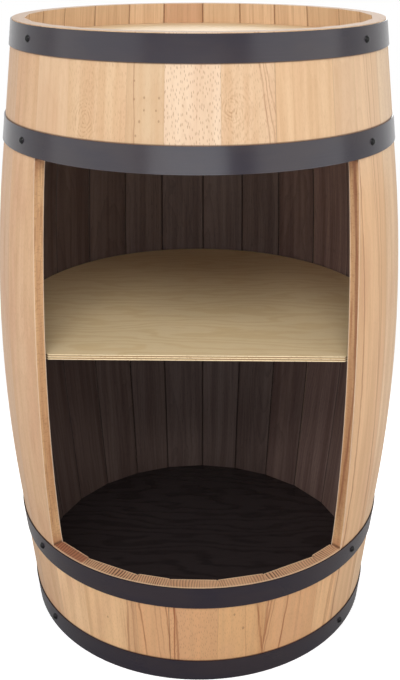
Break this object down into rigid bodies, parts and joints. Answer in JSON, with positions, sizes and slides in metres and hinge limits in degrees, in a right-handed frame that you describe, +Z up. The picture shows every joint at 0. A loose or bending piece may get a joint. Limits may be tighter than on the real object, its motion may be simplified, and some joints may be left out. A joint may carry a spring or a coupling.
{
  "type": "barrel bar cabinet",
  "caption": "Coopered wooden barrel standing upright, cut open at the front as a bar cabinet, with a round top tray, a plywood shelf and flat steel hoops.",
  "frame": {"origin": "centre of the whole cabinet's footprint box, on the floor", "axes": "+Z up along the barrel's axis, the open front faces -Y, +X to the right seen from the front"},
  "size_m": [0.5278, 0.5128, 0.8],
  "materials": {
    "stave_wood": "pale oiled oak outside, dark-brown stained inside",
    "plywood": "clear satin birch plywood",
    "cleat_wood": "dark-brown stained hardwood",
    "hoop_steel": "satin graphite-grey coated strip steel",
    "black_screw": "black domed heads",
    "steel_screw": "zinc-plated"
  },
  "bodies": {
    "root": {"rear_stave_01": "stave_wood", "rear_stave_02": "stave_wood", "rear_stave_03": "stave_wood", "rear_stave_04": "stave_wood", "rear_stave_05": "stave_wood", "rear_stave_06": "stave_wood", "rear_stave_07": "stave_wood", "rear_stave_08": "stave_wood", "rear_stave_09": "stave_wood", "rear_stave_10": "stave_wood", "rear_stave_11": "stave_wood", "rear_stave_12": "stave_wood", "rear_stave_13": "stave_wood", "rear_stave_14": "stave_wood", "rear_stave_15": "stave_wood", "rear_stave_16": "stave_wood", "rear_stave_17": "stave_wood", "rear_stave_18": "stave_wood", "upper_front_stave_1": "stave_wood", "upper_front_stave_2": "stave_wood", "upper_front_stave_3": "stave_wood", "upper_front_stave_4": "stave_wood", "upper_front_stave_5": "stave_wood", "upper_front_stave_6": "stave_wood", "upper_front_stave_7": "stave_wood", "lower_front_stave_1": "stave_wood", "lower_front_stave_2": "stave_wood", "lower_front_stave_3": "stave_wood", "lower_front_stave_4": "stave_wood", "lower_front_stave_5": "stave_wood", "lower_front_stave_6": "stave_wood", "lower_front_stave_7": "stave_wood", "top_end_hoop": "hoop_steel", "upper_quarter_hoop": "hoop_steel", "lower_quarter_hoop": "hoop_steel", "bottom_end_hoop": "hoop_steel", "hoop_rivets": "hoop_steel", "hoop_screws": "black_screw", "top_head": "plywood", "bottom_head": "plywood", "shelf": "plywood", "shelf_cleat_1": "cleat_wood", "shelf_cleat_2": "cleat_wood", "shelf_cleat_3": "cleat_wood", "shelf_cleat_4": "cleat_wood", "cleat_screws": "steel_screw", "shelf_screws": "steel_screw"}
  },
  "joints": []
}
